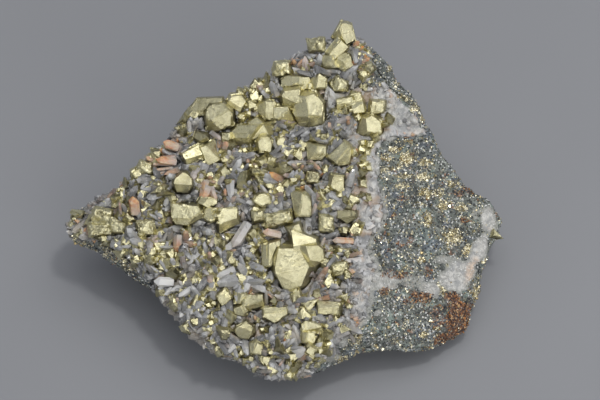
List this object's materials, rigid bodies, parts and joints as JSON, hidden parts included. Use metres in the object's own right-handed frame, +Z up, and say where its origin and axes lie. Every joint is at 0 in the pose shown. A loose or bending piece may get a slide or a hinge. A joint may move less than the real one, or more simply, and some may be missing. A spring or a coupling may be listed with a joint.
{
  "type": "chalcopyrite specimen",
  "caption": "Broken piece of dark sulphide ore with a sloping crust of grey quartz crystals that carries brassy, wedge-shaped chalcopyrite crystals; lies on a flat broken face.",
  "frame": {"origin": "in the flat broken face that the specimen rests on, under its middle", "axes": "+X along the specimen's length, from its pointed left tip to the bare rock; +Y towards the high back edge; +Z up from the resting face"},
  "size_m": [0.1198, 0.0998, 0.0474],
  "materials": {
    "host_rock": "rough broken blue-grey sulphide ore, speckled with brassy, white and rusty grains",
    "quartz": "vitreous, translucent grey to white quartz crystals, grown together",
    "stained_quartz": "vitreous quartz crystals stained pinkish to orange by iron",
    "chalcopyrite": "pale brassy metallic facets, satin, finely stepped, some dull"
  },
  "bodies": {
    "root": {"host_rock": "host_rock", "quartz_crust": "quartz", "long_quartz_crystal": "quartz", "white_quartz_crystal": "quartz", "pink_quartz_crystal": "stained_quartz", "rusty_quartz_crystal": "stained_quartz", "orange_spray_crystal": "stained_quartz", "upper_spray_crystal": "stained_quartz", "band_quartz_crystal": "stained_quartz", "tan_quartz_crystal": "stained_quartz", "great_lower_crystal": "chalcopyrite", "great_upper_crystal": "chalcopyrite", "summit_crystal": "chalcopyrite", "summit_ridge_crystal": "chalcopyrite", "fan_crystal": "chalcopyrite", "crest_crystal": "chalcopyrite", "left_crest_crystal": "chalcopyrite", "upper_plate_crystal": "chalcopyrite", "upper_edge_crystal": "chalcopyrite", "twin_crystals": "chalcopyrite", "block_crystal": "chalcopyrite", "round_crystal": "chalcopyrite", "rim_plate_crystal": "chalcopyrite", "pale_rim_crystal": "chalcopyrite", "fin_crystals": "chalcopyrite", "smooth_crystal": "chalcopyrite", "left_rim_crystal": "chalcopyrite", "olive_crystal": "chalcopyrite", "pale_crystal": "chalcopyrite", "bow_crystals": "chalcopyrite", "slab_crystal": "chalcopyrite", "high_crystal": "chalcopyrite", "lance_crystal": "chalcopyrite", "saddle_crystal": "chalcopyrite", "star_crystal": "chalcopyrite", "lantern_crystal": "chalcopyrite", "tall_crystal": "chalcopyrite", "middle_crystal": "chalcopyrite", "broken_crystals": "chalcopyrite", "roof_crystal": "chalcopyrite", "wing_crystal": "chalcopyrite", "great_left_crystal": "chalcopyrite", "tip_crystals": "chalcopyrite", "tip_notch_crystal": "chalcopyrite", "side_pair_crystals": "chalcopyrite", "mixed_crystal": "chalcopyrite", "dull_crystal": "chalcopyrite", "lower_left_crystal": "chalcopyrite", "hollow_crystals": "chalcopyrite", "dark_crystal": "chalcopyrite", "long_crystal": "chalcopyrite", "brick_crystal": "chalcopyrite", "foot_crystals": "chalcopyrite", "toe_crystals": "chalcopyrite", "east_crystal": "chalcopyrite"}
  },
  "joints": []
}
